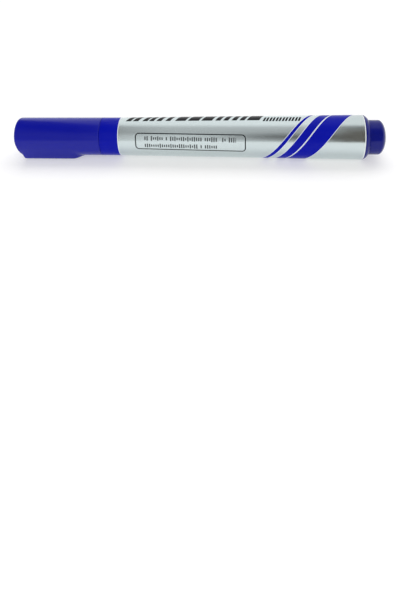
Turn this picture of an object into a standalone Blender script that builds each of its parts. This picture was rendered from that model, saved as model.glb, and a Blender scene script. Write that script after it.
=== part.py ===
"""Whiteboard marker with a push-on cap: nine turned and moulded pieces on one axis.

The marker lies along X with its cap towards -X and its rear plug towards +X.
Stations along it are measured from the front edge of the barrel, the datum,
where the cap stops. Positive stations run back over the barrel, and negative
ones run forward into the cap. The origin is under the middle of the marker,
on the surface that it lies on.
"""

from math import acos, atan2, cos, hypot, pi, radians, sin

import bmesh
import bpy

MM = 0.001
SIDES = 48                      # facets round every turned piece

# Clearances
SEAT_GAP = 0.30 * MM            # between faces that meet end to end
SLIP_GAP = 0.04 * MM            # round a part that is pushed into a bore
CAP_GAP = 0.10 * MM             # between the cap's bore and the land or boss it slides on
NIB_GAP = 0.07 * MM             # round the nib

# Barrel and its printed sleeve
BARREL_LENGTH = 97.2 * MM
BARREL_FRONT_RADIUS = 7.30 * MM     # over the sleeve
BARREL_REAR_RADIUS = 8.30 * MM      # over the sleeve
PARALLEL_LENGTH = 7.0 * MM          # straight front part of the barrel, before its taper
SLEEVE_THICKNESS = 0.20 * MM
SLEEVE_GAP = 0.03 * MM
BARREL_WALL = 0.95 * MM
RIB_COUNT = 6
RIB_HEIGHT = 0.45 * MM              # at the front of the barrel, where its bore is smallest
RIB_RAMP = 0.8 * MM                 # sloping end of each inner rib

# Nib holder
LAND_LENGTH = 4.2 * MM
LAND_SEAT_DEPTH = 1.2 * MM          # counterbore that takes the back of the land
CONE_LENGTH = 7.3 * MM
NECK_LENGTH = 6.0 * MM
NECK_WALL = 1.43 * MM               # round the nib's bore
NECK_DRAFT = 0.12 * MM              # how much slimmer the neck is at its mouth
MOUTH_ROUND = 0.45 * MM
HOLDER_PLUG_LENGTH = 6.0 * MM       # part pushed into the barrel
HOLDER_FUNNEL = 0.8 * MM            # widening at the back of the nib bore

# Nib
NIB_RADIUS = 2.35 * MM
NIB_REACH = 8.6 * MM                # how far it stands out of its holder
NIB_POINT_LENGTH = 4.6 * MM
NIB_TIP_RADIUS = 0.75 * MM
NIB_TAIL = 6.0 * MM                 # length pushed into the ink reservoir

# Ink reservoir and its film
RESERVOIR_END_ROOM = 4.2 * MM       # air between the reservoir and the rear plug
FILM_THICKNESS = 0.10 * MM

# Rear plug
COLLAR_LENGTH = 2.2 * MM
COLLAR_EDGE_START = 18.0            # degrees: how steeply the collar's curved edge starts ...
COLLAR_EDGE_END = 62.0              # ... and ends, leaning towards the boss
BOSS_LENGTH = 3.2 * MM
DOME_HEIGHT = 2.6 * MM
DOME_FLAT_RADIUS = 1.4 * MM
DOME_STEPS = 9
COLLAR_EDGE_STEPS = 6
PLUG_SKIRT_LENGTH = 7.0 * MM
PLUG_WALL = 1.2 * MM

# Cap
CAP_LENGTH = 33.1 * MM              # from the mouth to the middle of the closed end
CAP_WALL = 0.80 * MM
CROWN_HEIGHT = 0.15 * MM            # how far the closed end bulges
CROWN_FLAT_RADIUS = 2.6 * MM
CAP_EDGE_ROUND = 0.6 * MM
CAP_END_WALL = 1.5 * MM
MOUTH_BEVEL = 0.25 * MM
KEEL_RISE = 1.45 * MM               # how far the anti-roll keel stands off the cap
KEEL_TOP_WIDTH = 2.2 * MM
KEEL_LENGTH = 18.7 * MM             # at full height
KEEL_CORNER_CUT = 0.5 * MM          # bevel on the front end of its crest
KEEL_RUN_OUT = 5.4 * MM             # length of its sloping rear end
KEEL_RUN_OUT_STEPS = 6
NOSE_START = 2.0 * MM               # where the closed end starts to lean back, from the axis
NOSE_SLOPE = 0.25                   # how far it leans back for each length towards the keel

# Cap's inner seal
SEAL_WALL = 0.85 * MM
SEAL_FLANGE = 1.2 * MM
SEAL_NOSE_ROOM = 2.6 * MM           # air in front of the nib
SEAL_END_GAP = 0.7 * MM             # between its closed end and the cap's

# What follows from the sizes above
CAP_RADIUS = BARREL_FRONT_RADIUS    # the cap is flush with the front of the barrel
CAP_BORE = CAP_RADIUS - CAP_WALL
KEEL_HEIGHT = CAP_RADIUS + KEEL_RISE
LAND_RADIUS = CAP_BORE - CAP_GAP
NIB_BORE = NIB_RADIUS + NIB_GAP
NECK_RADIUS = NIB_BORE + NECK_WALL
BARREL_FRONT_BORE = BARREL_FRONT_RADIUS - SLEEVE_THICKNESS - SLEEVE_GAP - BARREL_WALL
FILM_RADIUS = BARREL_FRONT_BORE - RIB_HEIGHT - SLIP_GAP
LAND_FRONT = -LAND_LENGTH
CONE_FRONT = LAND_FRONT - CONE_LENGTH
HOLDER_MOUTH = CONE_FRONT - NECK_LENGTH
NIB_TIP = HOLDER_MOUTH - NIB_REACH
RESERVOIR_FRONT = HOLDER_PLUG_LENGTH + SEAT_GAP
CAP_MOUTH = -SEAT_GAP
CAP_END = CAP_MOUTH - CAP_LENGTH
CAP_RIM = CAP_END + CROWN_HEIGHT
COLLAR_FRONT = BARREL_LENGTH + SEAT_GAP
COLLAR_BACK = COLLAR_FRONT + COLLAR_LENGTH
BOSS_BACK = COLLAR_BACK + BOSS_LENGTH
REAR_END = BOSS_BACK + DOME_HEIGHT
SKIRT_FRONT = COLLAR_FRONT - PLUG_SKIRT_LENGTH
RESERVOIR_BACK = SKIRT_FRONT - RESERVOIR_END_ROOM
MIDDLE = (CAP_END + REAR_END) / 2

AXIS_HEIGHT = max(BARREL_REAR_RADIUS, CAP_RADIUS)
KEEL_CORNER = hypot(KEEL_HEIGHT, KEEL_TOP_WIDTH / 2)
KEEL_CORNER_ANGLE = atan2(KEEL_TOP_WIDTH / 2, KEEL_HEIGHT)
# The cap is turned until one edge of its keel rests on the surface, beside the barrel.
KEEL_LEAN = KEEL_CORNER_ANGLE + acos(min(1.0, AXIS_HEIGHT / KEEL_CORNER))


def sleeve_radius(station):
    """Outer radius of the printed sleeve: parallel at the front, then a straight taper."""
    share = max(0.0, station - PARALLEL_LENGTH) / (BARREL_LENGTH - PARALLEL_LENGTH)
    return BARREL_FRONT_RADIUS + share * (BARREL_REAR_RADIUS - BARREL_FRONT_RADIUS)


def barrel_radius(station):
    return sleeve_radius(station) - SLEEVE_THICKNESS - SLEEVE_GAP


def barrel_bore(station):
    return barrel_radius(station) - BARREL_WALL


def plastic(name, colour, roughness, metallic=0.0):
    """A material with one Principled shader."""
    material = bpy.data.materials.new(name)
    material.use_nodes = True
    shader = material.node_tree.nodes["Principled BSDF"]
    shader.inputs["Base Color"].default_value = (*colour, 1.0)
    shader.inputs["Roughness"].default_value = roughness
    shader.inputs["Metallic"].default_value = metallic
    material.diffuse_color = (*colour, 1.0)
    return material


def place(name, mesh_maker, material, lean=0.0):
    """Makes a mesh into an object on the marker's axis, turned about it by lean."""
    bmesh.ops.recalc_face_normals(mesh_maker, faces=mesh_maker.faces)
    mesh = bpy.data.meshes.new(name)
    mesh_maker.to_mesh(mesh)
    mesh_maker.free()
    mesh.materials.append(material)
    mesh.shade_smooth()
    mesh.set_sharp_from_angle(angle=pi / 6)
    piece = bpy.data.objects.new(name, mesh)
    piece.location = (-MIDDLE, 0.0, AXIS_HEIGHT)
    piece.rotation_euler = (lean, 0.0, 0.0)
    bpy.context.scene.collection.objects.link(piece)
    return piece


def turned(name, profile, material, hollow=False):
    """Spins a profile of (station, radius) points about the axis.

    A hollow piece's profile is a closed loop. Any other profile runs from a
    flat or pointed front end to a flat or pointed back end.
    """
    maker = bmesh.new()
    corners = [maker.verts.new((station, 0.0, radius)) for station, radius in profile]
    following = corners[1:] + corners[:1] if hollow else corners[1:]
    edges = [maker.edges.new(pair) for pair in zip(corners, following)]
    bmesh.ops.spin(
        maker,
        geom=corners + edges,
        axis=(1.0, 0.0, 0.0),
        cent=(0.0, 0.0, 0.0),
        steps=SIDES,
        angle=2 * pi,
        use_merge=True,
    )
    bmesh.ops.remove_doubles(maker, verts=maker.verts, dist=1e-7)
    if not hollow:
        bmesh.ops.holes_fill(maker, edges=[edge for edge in maker.edges if edge.is_boundary])
    return place(name, maker, material)


def bridged(maker, rings, closed):
    """Joins rings of vertices by quads, and the last ring to the first if closed."""
    following = rings[1:] + rings[:1] if closed else rings[1:]
    for ring, next_ring in zip(rings, following):
        for index in range(len(ring)):
            after = (index + 1) % len(ring)
            maker.faces.new((ring[index], ring[after], next_ring[after], next_ring[index]))


def arc(centre, radius_along, radius_out, start, end, steps):
    """Points of (station, radius) on an elliptic arc, angles from the +X side."""
    turns = [start + (end - start) * step / steps for step in range(steps + 1)]
    return [
        (centre[0] + radius_along * cos(turn), centre[1] + radius_out * sin(turn))
        for turn in turns
    ]


def make_barrel(material):
    """Tapered tube with a counterbore at the front and ribs that grip the reservoir."""
    rib_radius = BARREL_FRONT_BORE - RIB_HEIGHT
    seat_radius = LAND_RADIUS + SLIP_GAP
    ribs_start = RESERVOIR_FRONT + RIB_RAMP
    ribs_end = RESERVOIR_BACK - RIB_RAMP
    rib_spacing = SIDES // RIB_COUNT

    def ring(maker, station, radius, ribbed=False):
        points = []
        for index in range(SIDES):
            on_rib = ribbed and index % rib_spacing in (0, 1)
            reach = min(radius, rib_radius) if on_rib else radius
            turn = 2 * pi * index / SIDES
            points.append(maker.verts.new((station, reach * sin(turn), reach * cos(turn))))
        return points

    maker = bmesh.new()
    rings = [
        ring(maker, station, barrel_radius(station))
        for station in (0.0, PARALLEL_LENGTH, BARREL_LENGTH)
    ]
    bore_stations = {
        BARREL_LENGTH, ribs_end, ribs_end - RIB_RAMP, ribs_start + RIB_RAMP, ribs_start,
        max(PARALLEL_LENGTH, LAND_SEAT_DEPTH), LAND_SEAT_DEPTH,
    }
    rings += [
        ring(maker, station, barrel_bore(station), ribs_start < station < ribs_end)
        for station in sorted(bore_stations, reverse=True)
    ]
    rings += [ring(maker, LAND_SEAT_DEPTH, seat_radius), ring(maker, 0.0, seat_radius)]
    bridged(maker, rings, closed=True)
    return place("barrel_tube", maker, material)


def make_sleeve(material):
    """Printed film round the whole barrel, open at both ends."""
    stations = (SLEEVE_THICKNESS / 2, PARALLEL_LENGTH, BARREL_LENGTH)
    outside = [(station, sleeve_radius(station)) for station in stations]
    inside = [(station, radius - SLEEVE_THICKNESS) for station, radius in reversed(outside)]
    return turned("label_sleeve", outside + inside, material, hollow=True)


def make_nib_holder(material):
    """Nozzle: land, cone and neck in front, a plug in the barrel, and the nib's bore."""
    mouth_radius = NECK_RADIUS - NECK_DRAFT
    plug_radius = barrel_bore(0.0) - SLIP_GAP
    land_back = LAND_SEAT_DEPTH - SEAT_GAP
    lip = arc(
        (HOLDER_MOUTH + MOUTH_ROUND, mouth_radius - MOUTH_ROUND),
        MOUTH_ROUND, MOUTH_ROUND, pi, pi / 2, 3,
    )
    profile = [(HOLDER_MOUTH, NIB_BORE + NIB_GAP)]
    profile += lip
    profile += [
        (CONE_FRONT, NECK_RADIUS),
        (LAND_FRONT, LAND_RADIUS),
        (land_back, LAND_RADIUS),
        (land_back, plug_radius),
        (HOLDER_PLUG_LENGTH, plug_radius),
        (HOLDER_PLUG_LENGTH, NIB_BORE + HOLDER_FUNNEL),
        (HOLDER_PLUG_LENGTH - HOLDER_FUNNEL, NIB_BORE),
        (HOLDER_MOUTH + 2 * NIB_GAP, NIB_BORE),
    ]
    return turned("nib_holder", profile, material, hollow=True)


def make_nib(material):
    """Fibre rod with a bullet point, long enough to reach into the reservoir."""
    tail_end = RESERVOIR_FRONT + NIB_TAIL
    tail_bevel = NIB_RADIUS / 6
    tip = [(NIB_TIP, 0.0)]
    steps = 7
    for step in range(1, steps + 1):
        share = step / steps
        swell = 1.0 - (1.0 - share) ** 2.2
        radius = NIB_TIP_RADIUS * (1.0 - share) * min(1.0, 3 * share) + NIB_RADIUS * swell
        tip.append((NIB_TIP + NIB_POINT_LENGTH * share, min(radius, NIB_RADIUS)))
    profile = tip + [
        (tail_end - tail_bevel, NIB_RADIUS),
        (tail_end, NIB_RADIUS - tail_bevel),
        (tail_end, 0.0),
    ]
    return turned("nib", profile, material)


def make_reservoir(material):
    """Fibre core with a pocket at the front for the nib's tail."""
    pocket_end = RESERVOIR_FRONT + NIB_TAIL + SEAT_GAP
    radius = FILM_RADIUS - FILM_THICKNESS - SLIP_GAP
    profile = [
        (pocket_end, 0.0),
        (pocket_end, NIB_BORE),
        (RESERVOIR_FRONT, NIB_BORE),
        (RESERVOIR_FRONT, radius),
        (RESERVOIR_BACK, radius),
        (RESERVOIR_BACK, 0.0),
    ]
    return turned("ink_reservoir", profile, material)


def make_reservoir_film(material):
    """Thin film tube that holds the fibre together."""
    inside = FILM_RADIUS - FILM_THICKNESS
    profile = [
        (RESERVOIR_FRONT, inside),
        (RESERVOIR_FRONT, FILM_RADIUS),
        (RESERVOIR_BACK, FILM_RADIUS),
        (RESERVOIR_BACK, inside),
    ]
    return turned("reservoir_film", profile, material, hollow=True)


def make_rear_plug(material):
    """Plug with a collar flush with the sleeve and a domed boss that the cap posts on."""
    boss_radius = LAND_RADIUS
    hollow_radius = min(boss_radius, barrel_bore(SKIRT_FRONT)) - PLUG_WALL
    hollow_end = BOSS_BACK - PLUG_WALL / 2
    edge_start = pi / 2 - radians(COLLAR_EDGE_START)
    edge_end = pi / 2 - radians(COLLAR_EDGE_END)
    edge_length = COLLAR_LENGTH / (cos(edge_end) - cos(edge_start))
    edge_depth = (BARREL_REAR_RADIUS - boss_radius) / (sin(edge_start) - sin(edge_end))
    edge_centre = (
        COLLAR_FRONT - edge_length * cos(edge_start),
        BARREL_REAR_RADIUS - edge_depth * sin(edge_start),
    )
    dome = [
        (BOSS_BACK + DOME_HEIGHT * sin(turn), boss_radius * cos(turn))
        for turn in [pi / 2 * step / DOME_STEPS for step in range(DOME_STEPS - 1)]
    ]
    profile = [
        (hollow_end, 0.0),
        (hollow_end, hollow_radius - PLUG_WALL / 2),
        (hollow_end - PLUG_WALL / 2, hollow_radius),
        (SKIRT_FRONT, hollow_radius),
        (SKIRT_FRONT, barrel_bore(SKIRT_FRONT) - SLIP_GAP),
        (COLLAR_FRONT, barrel_bore(BARREL_LENGTH) - SLIP_GAP),
    ]
    profile += arc(edge_centre, edge_length, edge_depth, edge_start, edge_end, COLLAR_EDGE_STEPS)
    profile += dome
    profile += [(REAR_END, DOME_FLAT_RADIUS), (REAR_END, 0.0)]
    return turned("rear_plug", profile, material)


def keel_section(height, angle):
    """Radius of the cap at an angle from its keel: a circle with a flat-topped keel.

    The keel's flanks are tangents from the flat top's edges to the circle.
    """
    if height <= CAP_RADIUS:
        return CAP_RADIUS
    share = (height - CAP_RADIUS) / (KEEL_HEIGHT - CAP_RADIUS)
    half_width = share * KEEL_TOP_WIDTH / 2
    edge_angle = atan2(half_width, height)
    edge_radius = hypot(height, half_width)
    flank_angle = edge_angle + acos(min(1.0, CAP_RADIUS / edge_radius))
    angle = abs(angle)
    if angle >= flank_angle:
        return CAP_RADIUS
    return min(height / cos(angle), CAP_RADIUS / cos(flank_angle - angle))


def make_cap(material):
    """Cap with a closed end, an anti-roll keel, and one bore for the land and the boss."""
    step = 2 * pi / SIDES
    angles = [step * index for index in range(-SIDES // 2, SIDES // 2)]
    keel_angles = [
        KEEL_CORNER_ANGLE * (1 if angle > 0 else -1)
        if abs(abs(angle) - step) < step / 10 else angle
        for angle in angles
    ]
    maker = bmesh.new()

    def nose_station(depth):
        """Station of the leaning part of the closed end, at a depth towards the keel."""
        return CAP_RIM + NOSE_SLOPE * (depth - NOSE_START)

    def ring(station, radius, height=None, nose=False):
        points = []
        for plain, keeled in zip(angles, keel_angles):
            turn = plain if height is None else keeled
            reach = radius if height is None else keel_section(height, turn)
            along = max(station, nose_station(reach * cos(turn))) if nose else station
            points.append(maker.verts.new((along, -reach * sin(turn), -reach * cos(turn))))
        return points

    bevelled_height = KEEL_HEIGHT - KEEL_CORNER_CUT
    keel_front = nose_station(bevelled_height) + KEEL_CORNER_CUT
    keel_back = keel_front + KEEL_LENGTH
    edge_half = CAP_EDGE_ROUND * (1 - cos(pi / 4))
    rings = [
        ring(CAP_END, CROWN_FLAT_RADIUS),
        ring(CAP_RIM, CAP_RADIUS - CAP_EDGE_ROUND, nose=True),
        ring(CAP_RIM + edge_half, CAP_RADIUS - edge_half, nose=True),
        ring(CAP_RIM + CAP_EDGE_ROUND, CAP_RADIUS, bevelled_height, nose=True),
        ring(keel_front, CAP_RADIUS, KEEL_HEIGHT),
        ring(keel_back, CAP_RADIUS, KEEL_HEIGHT),
    ]
    for count in range(1, KEEL_RUN_OUT_STEPS + 1):
        share = count / KEEL_RUN_OUT_STEPS
        height = CAP_RADIUS + (KEEL_HEIGHT - CAP_RADIUS) * (1 + cos(pi * share)) / 2
        rings.append(ring(keel_back + KEEL_RUN_OUT * share, CAP_RADIUS, height))
    inner_end = CAP_END + CAP_END_WALL
    rings += [
        ring(CAP_MOUTH, CAP_RADIUS),
        ring(CAP_MOUTH, CAP_BORE + MOUTH_BEVEL),
        ring(CAP_MOUTH - 2 * MOUTH_BEVEL, CAP_BORE),
        ring(inner_end + MOUTH_BEVEL, CAP_BORE),
        ring(inner_end, CAP_BORE - MOUTH_BEVEL),
    ]
    bridged(maker, rings, closed=False)
    maker.faces.new(rings[0])
    maker.faces.new(rings[-1])
    return place("cap_shell", maker, material, lean=-KEEL_LEAN)


def make_inner_seal(material):
    """Soft cup held in the cap, which closes round the holder's neck."""
    grip_radius = NECK_RADIUS + SLIP_GAP
    mouth = CONE_FRONT - SEAT_GAP
    end_inside = NIB_TIP - SEAL_NOSE_ROOM
    end_outside = CAP_END + CAP_END_WALL + SEAL_END_GAP
    outside = grip_radius + SEAL_WALL
    chamber = grip_radius - NECK_DRAFT
    profile = [
        (end_inside, 0.0),
        (end_inside, chamber - SEAL_WALL),
        (end_inside + SEAL_WALL, chamber),
        (HOLDER_MOUTH, chamber + NECK_DRAFT),
        (mouth, grip_radius),
        (mouth, CAP_BORE - SLIP_GAP),
        (mouth - SEAL_FLANGE, CAP_BORE - SLIP_GAP),
        (mouth - SEAL_FLANGE, outside),
        (end_outside + SEAL_WALL, outside),
        (end_outside, outside - SEAL_WALL),
        (end_outside, 0.0),
    ]
    return turned("cap_inner_seal", profile, material)


def main():
    for old in list(bpy.data.objects):
        bpy.data.objects.remove(old, do_unlink=True)

    blue = plastic("blue_plastic", (0.008, 0.012, 0.25), 0.25)
    white = plastic("white_plastic", (0.78, 0.80, 0.78), 0.35)
    grey = plastic("grey_plastic", (0.55, 0.56, 0.56), 0.40)
    silver = plastic("silver_film", (0.55, 0.55, 0.56), 0.30, 0.8)
    seal = plastic("soft_clear_plastic", (0.75, 0.77, 0.76), 0.45)
    felt = plastic("inked_felt", (0.01, 0.012, 0.12), 0.9)
    fibre = plastic("inked_fibre", (0.02, 0.03, 0.30), 0.9)
    film = plastic("clear_film", (0.70, 0.72, 0.74), 0.2)

    make_cap(blue)
    make_inner_seal(seal)
    make_nib(felt)
    make_nib_holder(white)
    make_barrel(grey)
    make_sleeve(silver)
    make_reservoir(fibre)
    make_reservoir_film(film)
    make_rear_plug(blue)


main()
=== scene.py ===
"""Looks of a capped whiteboard marker: fine turned pieces, plastics, felt and a printed sleeve.

Lengths are in metres unless a name or a comment says millimetres. Stations run
along the marker from the front edge of its barrel: positive back over the
barrel, negative forward into the cap.
"""
from math import acos, asin, atan2, cos, degrees, hypot, pi, radians, sin, sqrt

import bmesh
import bpy
from mathutils import Matrix, Vector


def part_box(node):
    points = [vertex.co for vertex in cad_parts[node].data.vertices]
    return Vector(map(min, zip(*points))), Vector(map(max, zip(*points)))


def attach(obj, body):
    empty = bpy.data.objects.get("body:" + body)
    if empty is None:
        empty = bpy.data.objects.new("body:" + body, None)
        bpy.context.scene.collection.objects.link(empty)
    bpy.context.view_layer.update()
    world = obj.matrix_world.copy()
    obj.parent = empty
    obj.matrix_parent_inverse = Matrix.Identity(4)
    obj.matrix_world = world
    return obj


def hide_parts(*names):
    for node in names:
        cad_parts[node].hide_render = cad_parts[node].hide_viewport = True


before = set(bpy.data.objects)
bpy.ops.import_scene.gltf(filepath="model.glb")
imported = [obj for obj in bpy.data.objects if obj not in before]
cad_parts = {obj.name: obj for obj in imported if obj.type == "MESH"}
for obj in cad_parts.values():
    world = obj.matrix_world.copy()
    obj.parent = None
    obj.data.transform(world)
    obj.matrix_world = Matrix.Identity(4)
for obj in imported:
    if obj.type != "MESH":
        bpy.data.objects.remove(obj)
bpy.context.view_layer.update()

MM = 0.001


# ---------------------------------------------------------------- places read from the frame

def cad_points(node):
    """Points of a CAD node as (station in metres, distance from the marker's axis)."""
    return [
        (point.co.x - BARREL_FRONT, hypot(point.co.y, point.co.z - AXIS_HEIGHT))
        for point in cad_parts[node].data.vertices
    ]


def widest(node, low=-1.0, high=1.0):
    """Largest radius of a node between two stations."""
    return max(radius for station, radius in cad_points(node) if low <= station <= high)


def reach(node):
    """First and last station of a node."""
    low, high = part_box(node)
    return low.x - BARREL_FRONT, high.x - BARREL_FRONT


sleeve_low, sleeve_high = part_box("label_sleeve")
AXIS_HEIGHT = (sleeve_low.z + sleeve_high.z) / 2
BARREL_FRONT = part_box("barrel_tube")[0].x
BARREL_END = reach("barrel_tube")[1]
SLEEVE_FRONT, SLEEVE_END = reach("label_sleeve")
REAR_RADIUS = widest("label_sleeve")
FRONT_RADIUS = widest("label_sleeve", high=SLEEVE_FRONT + 0.01 * MM)
CAP_END, CAP_MOUTH = reach("cap_shell")
CAP_RADIUS = FRONT_RADIUS
KEEL_CORNER = widest("cap_shell")
HOLDER_MOUTH, HOLDER_BACK = reach("nib_holder")
LAND_RADIUS = widest("nib_holder")
NIB_TIP, NIB_BACK = reach("nib")
NIB_RADIUS = widest("nib")
SEAL_END, SEAL_MOUTH = reach("cap_inner_seal")
SEAL_FLANGE_RADIUS = widest("cap_inner_seal")
PLUG_FRONT, PLUG_END = reach("rear_plug")
PARALLEL_LENGTH = 7.0 * MM                  # straight front part of the barrel
SLEEVE_WALL = 0.2 * MM
SLEEVE_GAP = 0.03 * MM
BARREL_WALL = 0.95 * MM
SLIP_GAP = 0.04 * MM                        # round a part that is pushed into a bore
NIB_BORE = NIB_RADIUS + 0.07 * MM
NECK_RADIUS = NIB_BORE + 1.43 * MM
LAND_SEAT = 1.2 * MM                        # depth of the counterbore behind the land
KEEL_TOP_WIDTH = 2.2 * MM
KEEL_HEIGHT = sqrt(KEEL_CORNER ** 2 - (KEEL_TOP_WIDTH / 2) ** 2)
KEEL_LEAN = atan2(KEEL_TOP_WIDTH / 2, KEEL_HEIGHT) + acos(AXIS_HEIGHT / KEEL_CORNER)


def sleeve_radius(station):
    """Radius over the sleeve: parallel at the front, then a straight taper."""
    share = max(0.0, station - PARALLEL_LENGTH) / (SLEEVE_END - PARALLEL_LENGTH)
    return FRONT_RADIUS + share * (REAR_RADIUS - FRONT_RADIUS)


# ---------------------------------------------------------------- mesh making

SIDES = 192


def rounded(corners, steps=5):
    """A profile through (station, radius, rounding) corners, each rounded by a short curve."""
    points = []
    count = len(corners)
    for index, (station, radius, rounding) in enumerate(corners):
        here = Vector((station, radius))
        if rounding == 0 or index in (0, count - 1):
            points.append(here)
            continue
        before = Vector(corners[index - 1][:2])
        after = Vector(corners[index + 1][:2])
        start = here + (before - here).normalized() * min(rounding, (before - here).length / 2)
        end = here + (after - here).normalized() * min(rounding, (after - here).length / 2)
        for step in range(steps + 1):
            share = step / steps
            first = start.lerp(here, share)
            points.append(first.lerp(here.lerp(end, share), share))
    return [(point.x, point.y) for point in points]


def finished(name, maker, finish, body, node):
    """Turns a mesh in progress into a shown piece that stands for a CAD node."""
    bmesh.ops.remove_doubles(maker, verts=maker.verts, dist=1e-8)
    bmesh.ops.recalc_face_normals(maker, faces=maker.faces)
    mesh = bpy.data.meshes.new(name)
    maker.to_mesh(mesh)
    maker.free()
    mesh.materials.append(finish)
    mesh.shade_smooth()
    mesh.set_sharp_from_angle(angle=radians(50))
    piece = bpy.data.objects.new(name, mesh)
    bpy.context.scene.collection.objects.link(piece)
    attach(piece, body)
    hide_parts(node)
    return piece


def loft(maker, rings, closed):
    """Joins rings by quads; a ring of one point closes that end of an open row of rings."""
    following = rings[1:] + rings[:1] if closed else rings[1:]
    for ring, other in zip(rings, following):
        for index in range(max(len(ring), len(other))):
            corners = []
            for row, shift in ((ring, 0), (ring, 1), (other, 1), (other, 0)):
                point = row[(index + shift) % len(row)]
                if point not in corners:
                    corners.append(point)
            maker.faces.new(corners)


def turned(name, profile, finish, body, node, closed=True, shape=None):
    """Turns a profile about the marker's axis; shape(station, radius, angle) may move its points."""
    maker = bmesh.new()
    rings = []
    for station, radius in profile:
        count = 1 if radius == 0 else SIDES
        ring = []
        for index in range(count):
            angle = 2 * pi * index / SIDES
            along, out = shape(station, radius, angle) if shape else (station, radius)
            ring.append(maker.verts.new((
                BARREL_FRONT + along,
                -out * sin(angle),
                AXIS_HEIGHT + out * cos(angle),
            )))
        rings.append(ring)
    loft(maker, rings, closed)
    return finished(name, maker, finish, body, node)


# ---------------------------------------------------------------- shader maths

class Signal:
    """A shader socket that takes part in Python expressions."""

    def __init__(self, finish, socket):
        self.finish = finish
        self.socket = socket

    def __add__(self, other):
        return self.finish.math("ADD", self, other)

    __radd__ = __add__

    def __sub__(self, other):
        return self.finish.math("SUBTRACT", self, other)

    def __rsub__(self, other):
        return self.finish.math("SUBTRACT", other, self)

    def __mul__(self, other):
        return self.finish.math("MULTIPLY", self, other)

    def __truediv__(self, other):
        return self.finish.math("DIVIDE", self, other)

    def __abs__(self):
        return self.finish.math("ABSOLUTE", self)

    def at_least(self, other):
        return self.finish.math("MAXIMUM", self, other)

    def at_most(self, other):
        return self.finish.math("MINIMUM", self, other)

    def share(self):
        """The value held between 0 and 1."""
        return self.finish.math("ADD", self, 0.0, clamp=True)


class Finish:
    """A node tree being built: one way to add any node, and one to feed the shader."""

    def __init__(self, tree, shader=None):
        self.tree = tree
        self.shader = shader

    def node(self, kind, settings=None, sockets=None, output=0):
        made = self.tree.nodes.new(kind)
        for key, value in (settings or {}).items():
            if key == "stops":
                ramp = made.color_ramp
                while len(ramp.elements) < len(value):
                    ramp.elements.new(0.5)
                for element, (place, tone) in zip(ramp.elements, value):
                    element.position = place
                    element.color = (*tone, 1.0) if isinstance(tone, tuple) else (tone,) * 3 + (1.0,)
            else:
                setattr(made, key, value)
        for key, value in (sockets or {}).items():
            if isinstance(value, Signal):
                self.tree.links.new(value.socket, made.inputs[key])
            elif isinstance(value, tuple) and len(value) == 3 and made.inputs[key].type == "RGBA":
                made.inputs[key].default_value = (*value, 1.0)
            else:
                made.inputs[key].default_value = value
        return Signal(self, made.outputs[output])

    def math(self, operation, *values, clamp=False):
        settings = {"operation": operation, "use_clamp": clamp}
        return self.node("ShaderNodeMath", settings, dict(enumerate(values)))

    def feed(self, name, signal):
        self.tree.links.new(signal.socket, self.shader.inputs[name])

    def mix(self, mask, under, over):
        """Colour that goes from under to over as the mask goes from 0 to 1."""
        settings = {"data_type": "RGBA", "blend_type": "MIX"}
        return self.node("ShaderNodeMix", settings, {0: mask, 6: under, 7: over}, output=2)

    def place(self):
        """Position on the piece at rest, as one vector."""
        return self.node("ShaderNodeTexCoord", output=3)

    def noise(self, vector, scale, detail=2.0):
        sockets = {"Vector": vector, "Scale": scale, "Detail": detail, "Roughness": 0.5}
        return self.node("ShaderNodeTexNoise", sockets=sockets)

    def stretched(self, vector, factors):
        sockets = {0: vector, 1: factors}
        return self.node("ShaderNodeVectorMath", {"operation": "MULTIPLY"}, sockets)

    def bump(self, height, distance):
        sockets = {"Height": height, "Distance": distance, "Strength": 1.0}
        self.feed("Normal", self.node("ShaderNodeBump", sockets=sockets))


def new_finish(name, **values):
    """A material with one Principled shader, whose uniform values are given by name."""
    material = bpy.data.materials.new(name)
    material.use_nodes = True
    shader = material.node_tree.nodes["Principled BSDF"]
    for key, value in values.items():
        socket = shader.inputs[key.replace("_", " ")]
        socket.default_value = (*value, 1.0) if isinstance(value, tuple) else value
    return material, Finish(material.node_tree, shader)


# ---------------------------------------------------------------- finishes

def moulded_plastic(name, dark, light, roughness, gloss=0.5):
    """Moulded plastic: faint flow shades in its colour, a soft skin texture, handling marks."""
    material, finish = new_finish(name, Specular_IOR_Level=gloss)
    place = finish.place()
    flow = finish.noise(finish.stretched(place, (60.0, 220.0, 220.0)), 1.0, detail=3.0)
    finish.feed("Base Color", finish.mix(flow, dark, light))
    marks = finish.noise(finish.stretched(place, (900.0, 2600.0, 2600.0)), 1.0, detail=4.0)
    smudges = finish.noise(place, 140.0, detail=2.0)
    finish.feed("Roughness", roughness + (marks - 0.5) * 0.05 + (smudges - 0.5) * 0.08)
    skin = finish.noise(place, 1500.0, detail=2.0)
    finish.bump(skin, 0.004 * MM)
    return material


def felt(name, dark, light):
    """Bonded fibre soaked with ink: fine strands along the nib and a fuzzy skin."""
    material, finish = new_finish(
        name, Sheen_Weight=0.08, Sheen_Roughness=0.5, Specular_IOR_Level=0.2,
    )
    place = finish.place()
    strands = finish.noise(finish.stretched(place, (900.0, 6000.0, 6000.0)), 1.0, detail=3.0)
    blotches = finish.noise(place, 500.0, detail=2.0)
    tone = ((strands - 0.5) * 1.4 + (blotches - 0.5) * 0.8 + 0.5).share()
    finish.feed("Base Color", finish.mix(tone, dark, light))
    finish.feed("Roughness", 0.72 + strands * 0.2)
    finish.bump(strands + blotches * 0.5, 0.05 * MM)
    return material


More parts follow.
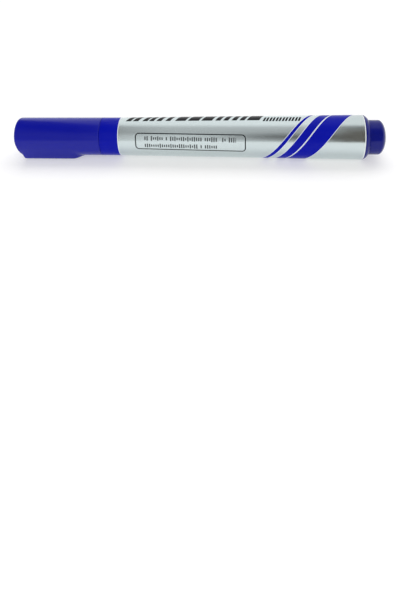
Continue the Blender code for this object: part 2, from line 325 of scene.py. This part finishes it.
def clear_film(name):
    """Thin clear film with faint lengthwise creases."""
    material, finish = new_finish(name, IOR=1.5)
    place = finish.place()
    creases = finish.noise(finish.stretched(place, (80.0, 1200.0, 1200.0)), 1.0, detail=3.0)
    finish.feed("Base Color", finish.mix(creases, (0.62, 0.65, 0.68), (0.78, 0.80, 0.82)))
    finish.feed("Roughness", 0.12 + creases * 0.15)
    finish.feed("Alpha", 0.35 + creases * 0.3)
    finish.bump(creases, 0.02 * MM)
    return material


# Print and a painted rear-edge highlight on the sleeve, in millimetres: along is the station, and
# around is the distance round the barrel, upwards from the line that faces a viewer who looks down on
# the marker.
PRINT_RADIUS = 7.5
VIEW_TILT = KEEL_LEAN                       # so the keel is seen in profile, along the lower outline
EDGE = 0.07                                 # soft edge of the print
BAND_END = 7.1
STRIPES = (                                 # front and rear edge: mean station and swing
    ((70.0, 9.2), (71.5, 8.8)),
    ((74.3, 8.7), (77.85, 8.7)),
    ((78.35, 8.7), (85.5, 9.05)),
)
STRIPE_PEAK = radians(95)
STRIPE_ARCH = 0.985                         # 1 would bring the stripes to a sharp peak
KEYLINE = 0.2                               # white line along the stripes' and the band's edges
REAR_HIGHLIGHT_WIDTH = 0.3                             # painted highlight: white line along the sleeve's rear edge
BOX_MIDDLE = (34.3, -2.2)
BOX_HALF = (20.3, 3.1)
BOX_CORNER = 1.3
BOX_LINE = 0.2                              # half the width of the box's line
BOX_TWIST = -0.0152                         # how the box and its lines drift round the barrel
SMALL_LINES = ((17.2, 51.2, -0.7), (17.2, 44.2, -3.5))
TITLE_START = 9.6
TITLE_BARS = (                              # front edge from the title's start, and width
    (0.0, 2.0), (2.7, 2.1), (6.4, 1.9), (8.9, 1.8), (11.7, 1.9), (15.1, 1.9), (18.8, 3.9),
    (23.6, 4.1), (28.6, 4.0), (33.8, 1.9), (36.7, 1.9), (39.8, 1.9), (42.7, 1.9), (45.4, 4.6),
)
WORD_START = 60.8
WORD_PITCH = 2.3
TOP_ROW = 17.7                              # middle of the print on the far upper side


class Print:
    """Masks for what is printed on the sleeve, and for a highlight painted along its rear edge."""

    def __init__(self, finish):
        self.finish = finish
        place = finish.node("ShaderNodeSeparateXYZ", sockets={0: finish.place()})
        x, y, z = (Signal(finish, output) for output in place.socket.node.outputs)
        self.along = (x - BARREL_FRONT) / MM
        height = z - AXIS_HEIGHT
        toward = y * -cos(VIEW_TILT) + height * sin(VIEW_TILT)
        upward = y * sin(VIEW_TILT) + height * cos(VIEW_TILT)
        self.turn = finish.math("ARCTAN2", upward, toward)
        self.around = self.turn * PRINT_RADIUS

    def inside(self, distance):
        """1 where a distance from an outline is negative, with a soft edge."""
        return self.finish.math("MULTIPLY_ADD", distance, -1.0 / EDGE, 0.5, clamp=True)

    def slab(self, value, middle, half):
        """Distance outside a stretch of values."""
        return abs(value - middle) - half

    def either(self, masks):
        """Union of several masks."""
        total = masks[0]
        for mask in masks[1:]:
            total = total.at_least(mask)
        return total

    def rounded_plate(self, middle, half, corner, twist=0.0):
        """Distance outside a rectangle with round corners."""
        around = self.around - (self.along - middle[0]) * twist
        side = self.slab(self.along, middle[0], half[0] - corner)
        end = self.slab(around, middle[1], half[1] - corner)
        over_side = side.at_least(0.0)
        over_end = end.at_least(0.0)
        past_corner = self.finish.math("SQRT", over_side * over_side + over_end * over_end)
        return past_corner + side.at_least(end).at_most(0.0) - corner

    def stripes(self, grown=0.0):
        """Three stripes that rise to a rounded arch and fall again behind."""
        sway = self.finish.math("COSINE", self.turn - STRIPE_PEAK) * STRIPE_ARCH
        arch = self.finish.math("ARCSINE", sway) / asin(STRIPE_ARCH)
        masks = []
        for (front, front_swing), (rear, rear_swing) in STRIPES:
            ahead = front + arch * front_swing - self.along
            behind = self.along - (rear + arch * rear_swing)
            masks.append(self.inside(ahead.at_least(behind) - grown))
        return self.either(masks)

    def band(self, grown=0.0):
        """Band round the front of the barrel."""
        return self.inside(self.along - BAND_END - grown)

    def painted_rear_highlight(self):
        """Painted highlight: a white line along the sleeve's rear edge."""
        return self.inside(SLEEVE_END / MM - REAR_HIGHLIGHT_WIDTH - self.along)

    def seam(self):
        """Overlap of the film, on the far side from its print."""
        return self.inside(self.slab(self.around, PRINT_RADIUS * pi - 0.6, 0.05))

    def outline(self):
        """Thin rounded frame round the small print."""
        distance = self.rounded_plate(BOX_MIDDLE, BOX_HALF, BOX_CORNER, BOX_TWIST)
        return self.inside(abs(distance) - BOX_LINE)

    def small_print(self, start, end, middle, height=1.8, twist=BOX_TWIST):
        """A row of short upright ticks of uneven height in place of words."""
        pitch = 0.8
        tick = 0.44
        cell = (self.along - start) / pitch
        number = self.finish.math("FLOOR", cell)
        across = abs(cell - number - 0.5) * pitch
        settings = {"noise_dimensions": "1D"}
        uneven = self.finish.node("ShaderNodeTexWhiteNoise", settings, {"W": number + middle})
        around = self.around - (self.along - start) * twist
        tall = self.slab(around, middle, height / 2) + uneven * (height * 0.25)
        length = self.slab(self.along, (start + end) / 2, (end - start) / 2)
        letter = (across - tick / 2).at_least(tall).at_least(length)
        spaces = self.finish.math("COMPARE", uneven, 0.4, 0.06)     # about one cell in eight
        return self.inside(letter) * (1 - spaces)

    def bars(self, bars, low, high, slant):
        """Slanted bars between two heights, each given by its front edge and its width."""
        middle = (low + high) / 2
        leaning = self.along - (self.around - low) * slant
        distance = None
        for start, width in bars:
            bar = self.slab(leaning, start + width / 2, width / 2)
            distance = bar if distance is None else distance.at_most(bar)
        return self.inside(distance.at_least(self.slab(self.around, middle, (high - low) / 2)))

    def title(self):
        """Heavy slanted bars in place of a title."""
        bars = [(TITLE_START + front, width) for front, width in TITLE_BARS]
        return self.bars(bars, low=6.6, high=12.6, slant=0.45)

    def word_bars(self):
        """Lighter slanted bars in place of a word."""
        fronts = [WORD_START + WORD_PITCH * index for index in range(6)]
        pairs = [(front + shift, 0.75) for front in fronts for shift in (0.0, 1.1)]
        return self.bars(pairs, low=6.05, high=8.5, slant=0.35)

    def top_bars(self):
        """A rounded frame, two rows of ticks and heavy slanted bars on the far upper side."""
        blocks = [(25.0 + 2.9 * index, 2.1) for index in range(8)]
        plate = self.rounded_plate(middle=(12.6, TOP_ROW), half=(1.9, 1.9), corner=0.7)
        return self.either([
            self.bars(blocks, low=TOP_ROW - 2.1, high=TOP_ROW + 2.1, slant=0.35),
            self.small_print(15.4, 24.0, TOP_ROW + 1.1, height=1.3, twist=0.0),
            self.small_print(15.4, 24.0, TOP_ROW - 1.1, height=1.3, twist=0.0),
            self.inside(abs(plate) - BOX_LINE),
        ])

    def top_patch(self):
        """Slanted patch on the far upper side."""
        return self.bars([(57.5, 13.0)], low=TOP_ROW - 2.4, high=TOP_ROW + 2.4, slant=0.5)

    def top_patch_line(self):
        """Pale bar along the middle of the patch."""
        return self.bars([(59.5, 9.0)], low=TOP_ROW - 0.5, high=TOP_ROW + 0.5, slant=0.5)


def printed_film(name):
    """Silver film with a satin sheen, printed in blue, near black and white, with a highlight painted
    in white along its rear edge.
    """
    material, finish = new_finish(name, Specular_IOR_Level=0.08)
    art = Print(finish)
    place = finish.place()
    grain = finish.noise(finish.stretched(place, (500.0, 9000.0, 9000.0)), 1.0, detail=3.0)
    patches = finish.noise(place, 90.0, detail=2.0)
    silver = finish.mix(grain, (0.55, 0.62, 0.63), (0.65, 0.73, 0.74))
    blue = finish.mix(patches, (0.002, 0.005, 0.31), (0.003, 0.007, 0.36))
    pale_line = art.top_patch_line()
    keylines = [art.stripes(grown=KEYLINE), art.band(grown=KEYLINE)]
    # White print, together with the highlight painted along the sleeve's rear edge.
    white_print_and_painted_highlight = art.either([*keylines, art.painted_rear_highlight(), pale_line])
    blue_print = art.either([art.stripes(), art.band(), art.top_patch()]) * (1 - pale_line)
    small_print = art.either([art.small_print(*line) for line in SMALL_LINES]) * 0.92
    black_print = art.either([
        art.outline(), art.title(), art.word_bars(), art.top_bars(), art.seam() * 0.5, small_print,
    ])
    # The same white serves the print and the painted highlight at the rear edge.
    colour = finish.mix(white_print_and_painted_highlight, silver, (0.80, 0.84, 0.86))
    colour = finish.mix(blue_print, colour, blue)
    colour = finish.mix(black_print, colour, (0.006, 0.008, 0.010))
    # The ink mask also holds the painted rear-edge highlight, so the metal is turned off and the bump
    # raised there too.
    ink = art.either([white_print_and_painted_highlight, blue_print, black_print])
    finish.feed("Base Color", colour)
    finish.feed("Metallic", 0.94 - ink * 0.94)
    finish.feed("Roughness", 0.19 + (grain - 0.5) * 0.06)
    finish.bump(grain * 0.3 + ink * 0.6, 0.01 * MM)
    return material


# ---------------------------------------------------------------- pieces

def make_sleeve(finish):
    """Printed film round the barrel, with a softly rounded front and rear edge."""
    front = 0.02 * MM
    edge = 0.06 * MM
    steps = 8
    taper = SLEEVE_END - PARALLEL_LENGTH
    stations = [PARALLEL_LENGTH + taper * step / steps for step in range(steps)]
    outside = rounded([
        (front, FRONT_RADIUS - SLEEVE_WALL, 0.0),
        (front, FRONT_RADIUS, edge),
        *[(station, sleeve_radius(station), 0.0) for station in stations],
        (SLEEVE_END, REAR_RADIUS, edge),
        (SLEEVE_END, REAR_RADIUS - SLEEVE_WALL, 0.0),
    ])
    inside = [(station, sleeve_radius(station) - SLEEVE_WALL) for station in reversed(stations)]
    return turned("printed_sleeve", outside + inside, finish, "marker", "label_sleeve")


def make_barrel(finish):
    """Barrel tube with six inner ribs: only its front rim shows, when the cap is off."""
    skin = SLEEVE_WALL + SLEEVE_GAP
    edge = 0.1 * MM
    seat = LAND_RADIUS + SLIP_GAP
    rib_radius = widest("reservoir_film") + SLIP_GAP
    rib_pitch, rib_half_width = 60, 4       # degrees
    rib_start, rib_end = reach("reservoir_film")
    rib_inset = 1.0 * MM
    rib_full = 1.8 * MM

    def bore(station):
        return sleeve_radius(station) - skin - BARREL_WALL

    def shape(station, radius, angle):
        on_bore = radius < bore(station) + BARREL_WALL / 2
        on_rib = (degrees(angle) + rib_half_width) % rib_pitch < 2 * rib_half_width
        if on_bore and on_rib and rib_start + rib_inset < station < rib_end - rib_inset:
            return station, min(radius, rib_radius)
        return station, radius

    profile = rounded([
        (0.0, seat, edge),
        (0.0, FRONT_RADIUS - skin, edge),
        (PARALLEL_LENGTH, FRONT_RADIUS - skin, 0.0),
        (BARREL_END, REAR_RADIUS - skin, edge),
        (BARREL_END, bore(BARREL_END), edge),
        (rib_end, bore(rib_end), 0.0),
        (rib_end - rib_inset - 0.2 * MM, bore(rib_end), 0.0),
        (rib_end - rib_full, bore(rib_end), 0.0),
        (rib_start + rib_full, bore(0.0), 0.0),
        (rib_start + rib_inset, bore(0.0), 0.0),
        (LAND_SEAT, bore(0.0), 0.0),
        (LAND_SEAT, seat, 0.0),
    ])
    return turned("barrel", profile, finish, "marker", "barrel_tube", shape=shape)


def make_rear_plug(finish):
    """Collar flush with the sleeve, curving in to a boss with a softly domed end."""
    collar_front = SLEEVE_END + 0.08 * MM
    collar_back = SLEEVE_END + 2.1 * MM
    boss_back = PLUG_END - 2.6 * MM
    boss_radius = LAND_RADIUS
    neck = widest("rear_plug", PLUG_FRONT, SLEEVE_END)
    skirt = widest("rear_plug", high=PLUG_FRONT + 0.01 * MM)
    hollow = boss_radius - 1.2 * MM
    hollow_end = boss_back - 0.6 * MM
    start, end = radians(72), radians(28)   # where the collar's curved back starts and ends
    length = (collar_back - collar_front) / (cos(end) - cos(start))
    depth = (REAR_RADIUS - boss_radius) / (sin(start) - sin(end))
    collar_steps = 10
    collar = [
        (
            collar_front + length * (cos(turn) - cos(start)),
            REAR_RADIUS + depth * (sin(turn) - sin(start)),
            0.0,
        )
        for turn in [start + (end - start) * step / collar_steps for step in range(1, collar_steps)]
    ]
    dome_steps = 18
    dome = [
        (boss_back + (PLUG_END - boss_back) * sin(turn), boss_radius * cos(turn))
        for turn in [pi / 2 * step / dome_steps for step in range(1, dome_steps)]
    ]
    outside = rounded([
        (PLUG_FRONT, hollow, 0.0),
        (PLUG_FRONT, skirt, 0.2 * MM),
        (collar_front, neck, 0.0),
        (collar_front, REAR_RADIUS, 0.1 * MM),
        *collar,
        (collar_back, boss_radius, 0.06 * MM),
        (boss_back, boss_radius, 0.0),
    ])
    inside = [(hollow_end, 0.0), (hollow_end, hollow - 0.6 * MM)]
    profile = inside + outside + dome + [(PLUG_END, 0.0)]
    return turned("end_plug", profile, finish, "marker", "rear_plug", closed=False)


def make_nib(finish):
    """Bullet nib of bonded fibre."""
    point_length = 4.8 * MM
    tail_bevel = 0.4 * MM
    steps = 20
    profile = [(NIB_TIP, 0.0)]
    for step in range(1, steps + 1):
        share = step / steps
        radius = NIB_RADIUS * (1 - (1 - share) ** 2.3) ** 0.62
        profile.append((NIB_TIP + point_length * share ** 1.15, radius))
    profile += [
        (HOLDER_MOUTH, NIB_RADIUS),
        (NIB_BACK - tail_bevel, NIB_RADIUS),
        (NIB_BACK, NIB_RADIUS - tail_bevel),
        (NIB_BACK, 0.0),
    ]
    return turned("bullet_nib", profile, finish, "marker", "nib", closed=False)


def make_nib_holder(finish):
    """White nozzle: land, cone and neck, with a rounded lip round the nib."""
    land_front = -4.2 * MM
    land_back = LAND_SEAT - 0.3 * MM
    cone_front = land_front - 7.3 * MM
    lip = NECK_RADIUS - 0.12 * MM
    plug = FRONT_RADIUS - SLEEVE_WALL - SLEEVE_GAP - BARREL_WALL - SLIP_GAP
    funnel = 0.8 * MM                       # widening at the back of the nib's bore
    profile = rounded([
        (HOLDER_BACK, NIB_BORE + funnel, 0.0),
        (HOLDER_BACK - funnel, NIB_BORE, 0.1 * MM),
        (HOLDER_MOUTH + 0.5 * MM, NIB_BORE, 0.1 * MM),
        (HOLDER_MOUTH, NIB_BORE + 0.35 * MM, 0.25 * MM),
        (HOLDER_MOUTH, lip, 0.5 * MM),
        (cone_front, NECK_RADIUS, 0.9 * MM),
        (land_front - 0.15 * MM, LAND_RADIUS - 0.1 * MM, 0.4 * MM),
        (land_front + 0.2 * MM, LAND_RADIUS, 0.1 * MM),
        (land_back, LAND_RADIUS, 0.0),
        (land_back, plug, 0.0),
        (HOLDER_BACK, plug, 0.2 * MM),
        (HOLDER_BACK, plug - 0.5 * MM, 0.0),
    ])
    return turned("nib_nozzle", profile, finish, "marker", "nib_holder")


def make_inner_seal(finish):
    """Soft cup that closes round the neck of the nib holder."""
    wall = 0.85 * MM
    lead = 0.12 * MM                        # how much slimmer the chamber is than the grip
    grip = NECK_RADIUS + SLIP_GAP
    chamber = grip - lead
    outside = grip + wall
    flange_back = SEAL_MOUTH - 1.2 * MM
    end_inside = SEAL_END + 0.9 * MM
    profile = [(end_inside, 0.0)]
    profile += rounded([
        (end_inside, chamber - wall, 0.0),
        (end_inside, chamber - wall * 0.5, 0.3 * MM),
        (end_inside + wall, chamber, 0.3 * MM),
        (HOLDER_MOUTH, grip, 0.5 * MM),
        (SEAL_MOUTH, grip, 0.15 * MM),
        (SEAL_MOUTH, SEAL_FLANGE_RADIUS, 0.2 * MM),
        (flange_back, SEAL_FLANGE_RADIUS, 0.2 * MM),
        (flange_back, outside, 0.3 * MM),
        (SEAL_END + wall, outside, 0.4 * MM),
        (SEAL_END, outside - wall, 0.0),
    ])
    profile += [(SEAL_END, 0.0)]
    return turned("seal_cup", profile, finish, "cap_seal", "cap_inner_seal", closed=False)


def soft_least(first, second, blend):
    """The smaller of two lengths, rounded off where they are nearly equal."""
    share = max(0.0, blend - abs(first - second)) / blend
    return min(first, second) - share * share * blend / 4


def soft_most(first, second, blend):
    """The larger of two lengths, rounded off where they are nearly equal."""
    return -soft_least(-first, -second, blend)


def keel_section(height, angle):
    """Cap radius at an angle from the keel, which has a flat top and tangent flanks."""
    rise = height - CAP_RADIUS
    if rise < 1e-9:
        return CAP_RADIUS
    half_width = KEEL_TOP_WIDTH / 2 * rise / (KEEL_HEIGHT - CAP_RADIUS)
    flank = atan2(half_width, height) + acos(CAP_RADIUS / hypot(height, half_width))
    if angle >= flank:
        return CAP_RADIUS
    top = height / cos(angle)
    side = CAP_RADIUS / cos(flank - angle)
    return max(CAP_RADIUS, soft_least(top, side, 0.3 * rise))


def make_cap(finish):
    """Cap whose closed end leans back towards its anti-roll keel, with a plain bore."""
    crown_height = 0.15 * MM
    rim = CAP_END + crown_height
    edge = 0.9 * MM
    edge_end = rim + edge
    nose_start = 2.0 * MM                   # where the end starts to lean back, from the axis
    nose_slope = 0.25
    nose_blend = 0.2 * MM
    corner = 1.0 * MM                       # rounding at the front of the keel's crest
    rise = KEEL_HEIGHT - CAP_RADIUS
    keel_front = rim + nose_slope * (KEEL_HEIGHT - corner - nose_start) + corner
    front_end = keel_front + 0.2 * MM
    keel_back = keel_front + 18.7 * MM
    run_out = 5.4 * MM
    bore = LAND_RADIUS + 0.1 * MM
    inner_end = CAP_END + 1.5 * MM
    mouth = CAP_MOUTH + 0.2 * MM

    def keel_height(station):
        if station < keel_back:
            short = min(1.0, max(0.0, keel_front - station) / corner)
            return KEEL_HEIGHT - corner * (1 - sqrt(1 - short * short))
        share = min(1.0, (station - keel_back) / run_out)
        return CAP_RADIUS + rise * (1 + cos(pi * share)) / 2

    def shape(station, radius, angle):
        if station >= inner_end and radius < bore + 0.3 * MM:      # the bore stays round
            return station, radius
        from_keel = abs((angle - (pi - KEEL_LEAN) + pi) % (2 * pi) - pi)

        def leaning(depth):
            return rim + nose_slope * (depth - nose_start)

        if station < edge_end:
            return soft_most(station, leaning(radius * cos(from_keel)), nose_blend), radius
        if station < front_end:
            front_radius = keel_section(KEEL_HEIGHT - corner, from_keel)
            start = soft_most(edge_end, leaning(front_radius * cos(from_keel)), nose_blend)
            share = (station - edge_end) / (front_end - edge_end)
            station = start + share * (front_end - start)
        return station, keel_section(keel_height(station), from_keel) + radius - CAP_RADIUS

    crown_steps = 6
    crown_edge = CAP_RADIUS - edge - 0.2 * MM
    crown = [
        (CAP_END + crown_height * (step / crown_steps) ** 2, crown_edge * step / crown_steps)
        for step in range(1, crown_steps)
    ]
    edge_steps = 10
    edge_curve = [(rim, crown_edge)] + [
        (edge_end - edge * cos(turn), CAP_RADIUS - edge + edge * sin(turn))
        for turn in [pi / 2 * step / edge_steps for step in range(edge_steps)]
    ]
    front_steps = 14
    front = [edge_end + (front_end - edge_end) * step / front_steps for step in range(front_steps + 1)]
    run_steps = 16
    run = [keel_back + run_out * step / run_steps for step in range(run_steps + 1)]
    outside = [(station, CAP_RADIUS) for station in front + run]
    mouth_curve = rounded([
        (mouth - 0.6 * MM, CAP_RADIUS, 0.0),
        (mouth, CAP_RADIUS, 0.2 * MM),
        (mouth, bore + 0.15 * MM, 0.12 * MM),
        (mouth - 0.5 * MM, bore, 0.2 * MM),
        (inner_end, bore, 0.6 * MM),
        (inner_end, bore - 1.5 * MM, 0.0),
    ])
    profile = [(CAP_END, 0.0)] + crown + edge_curve + outside + mouth_curve + [(inner_end, 0.0)]
    return turned("cap", profile, finish, "cap", "cap_shell", closed=False, shape=shape)


# ---------------------------------------------------------------- floor, light and camera

# Brightness along the arc from the far horizon (0) over the top (0.5) to the viewer's side (1).
LEFT_TONES = ((0.0, 1.08), (0.45, 1.08), (0.55, 0.68), (0.74, 0.61), (0.82, 0.85), (1.0, 1.0))
MIDDLE_TONES = (
    (0.0, 1.1), (0.47, 1.1), (0.565, 0.68), (0.72, 0.5), (0.83, 0.06), (0.89, 0.1), (1.0, 0.6),
)
CAP_SIDE_TONES = ((0.0, 1.1), (0.46, 1.1), (0.5, 0.14), (0.84, 0.08), (0.87, 0.3), (1.0, 0.4))
REAR_SIDE_TONES = (
    (0.0, 0.95), (0.47, 0.95), (0.555, 0.24), (0.72, (0.11, 0.09, 0.07)), (1.0, (0.1, 0.08, 0.06)),
)
# Past this side, at the cap's front, the near side's shade reaches further over the top, so the
# shade's edge slants there.
SHADE_SLANT_START = -0.27
SHADE_SLANT = 1.9
TONES_FROM_CAP = (                          # where each set takes over, how softly, and the set
    (-0.29, 0.04, LEFT_TONES),
    (-0.12, 0.12, MIDDLE_TONES),
    (0.12, 0.04, REAR_SIDE_TONES),
)
LAMPS = (                                   # name, place, size and power
    ("overhead", Vector((0.0, 0.4, 0.8)), (1.0, 0.6), 3.0),
    ("front_fill", Vector((0.0, -0.9, 0.5)), (1.4, 0.8), 6.0),
)


def make_floor():
    """Pale floor that glows a little, like a table lit from below, and runs past the view."""
    half = 4.0
    maker = bmesh.new()
    corners = [maker.verts.new((x, y, 0.0)) for x, y in (
        (-half, -half), (half, -half), (half, half), (-half, half),
    )]
    maker.faces.new(corners)
    mesh = bpy.data.meshes.new("floor")
    maker.to_mesh(mesh)
    maker.free()
    material, _ = new_finish(
        "floor_white", Base_Color=(0.62, 0.62, 0.62), Roughness=0.9, Specular_IOR_Level=0.0,
        Emission_Color=(1.0, 1.0, 1.0), Emission_Strength=0.42,
    )
    mesh.materials.append(material)
    floor = bpy.data.objects.new("floor", mesh)
    bpy.context.scene.collection.objects.link(floor)


def make_studio():
    """Soft light: a pale dome, greyer towards the viewer, with lamps that only brighten."""
    world = bpy.data.worlds.new("studio")
    bpy.context.scene.world = world
    world.use_nodes = True
    sky = Finish(world.node_tree)
    way = sky.node("ShaderNodeTexCoord", output=0)
    split = sky.node("ShaderNodeSeparateXYZ", sockets={0: way})
    side, depth, height = (Signal(sky, output) for output in split.socket.node.outputs)
    arc = sky.math("ARCTAN2", height, depth) / pi
    slanted = arc + (SHADE_SLANT_START - side).at_least(0.0) * SHADE_SLANT
    tone = sky.node("ShaderNodeValToRGB", {"stops": CAP_SIDE_TONES}, {0: slanted})
    for start, width, tones in TONES_FROM_CAP:
        taking_over = ((side - start) / width).share()
        following = sky.node("ShaderNodeValToRGB", {"stops": tones}, {0: slanted})
        tone = sky.mix(taking_over, tone, following)
    # The far ends stay pale just over the floor, behind a marker that is seen end on.
    low_at_the_ends = ((abs(side) - 0.75) / 0.15).share() * ((0.35 - height) / 0.2).share()
    tone = sky.mix(low_at_the_ends, tone, (1.0, 1.0, 1.0))
    background = world.node_tree.nodes["Background"]
    world.node_tree.links.new(tone.socket, background.inputs["Color"])
    background.inputs["Strength"].default_value = 1.0

    for name, place, size, energy in LAMPS:
        light = bpy.data.lights.new(name, "AREA")
        light.shape = "RECTANGLE"
        light.size, light.size_y = size
        light.energy = energy
        lamp = bpy.data.objects.new(name, light)
        lamp.location = place
        lamp.rotation_euler = (-lamp.location).to_track_quat("-Z", "Y").to_euler()
        lamp.visible_glossy = False
        bpy.context.scene.collection.objects.link(lamp)


def make_camera():
    """Camera that looks down on the marker, which lies across the upper part of the frame."""
    distance = 0.201
    yaw = radians(5.6)
    roll = radians(0.2)
    camera_data = bpy.data.cameras.new("camera")
    camera_data.sensor_width = 36.0         # millimetres, as is the lens
    camera_data.lens = 31.687
    camera_data.shift_y = -0.2727           # the marker lies above the middle of the frame
    camera_data.clip_start = 0.01
    camera = bpy.data.objects.new("camera", camera_data)
    bpy.context.scene.collection.objects.link(camera)
    bpy.context.scene.camera = camera
    out = Vector((0.0, -cos(VIEW_TILT), sin(VIEW_TILT)))
    back = out * cos(yaw) + Vector((sin(yaw), 0.0, 0.0))
    up = Vector((0.0, sin(VIEW_TILT), cos(VIEW_TILT)))
    aim = Vector((BARREL_FRONT + 37.5 * MM, 0.0, AXIS_HEIGHT))
    camera.location = aim + back * distance
    right = up.cross(back)
    turn = Matrix((right, up, back)).transposed() @ Matrix.Rotation(roll, 3, "Z")
    camera.rotation_euler = turn.to_euler()


def main():
    blue = moulded_plastic("blue_plastic", (0.002, 0.005, 0.26), (0.003, 0.006, 0.31), 0.16, 0.28)
    navy = moulded_plastic("plug_plastic", (0.002, 0.005, 0.14), (0.003, 0.006, 0.18), 0.18, 0.25)
    white = moulded_plastic("white_plastic", (0.76, 0.78, 0.77), (0.82, 0.84, 0.82), 0.34)
    grey = moulded_plastic("grey_plastic", (0.50, 0.52, 0.53), (0.58, 0.60, 0.61), 0.38)
    natural = moulded_plastic("natural_plastic", (0.70, 0.73, 0.72), (0.80, 0.82, 0.80), 0.42)
    nib_felt = felt("inked_felt", (0.003, 0.004, 0.045), (0.012, 0.015, 0.12))
    core = felt("inked_core", (0.010, 0.014, 0.20), (0.04, 0.05, 0.42))
    film = clear_film("core_film")
    sleeve = printed_film("printed_film")

    make_cap(blue)
    make_rear_plug(navy)
    make_sleeve(sleeve)
    make_barrel(grey)
    make_nib_holder(white)
    make_nib(nib_felt)
    make_inner_seal(natural)
    for node, finish in (("ink_reservoir", core), ("reservoir_film", film)):
        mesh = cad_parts[node].data
        mesh.materials.clear()
        mesh.materials.append(finish)

    make_floor()
    make_studio()
    make_camera()
    bpy.context.scene.view_settings.view_transform = "Standard"


main()
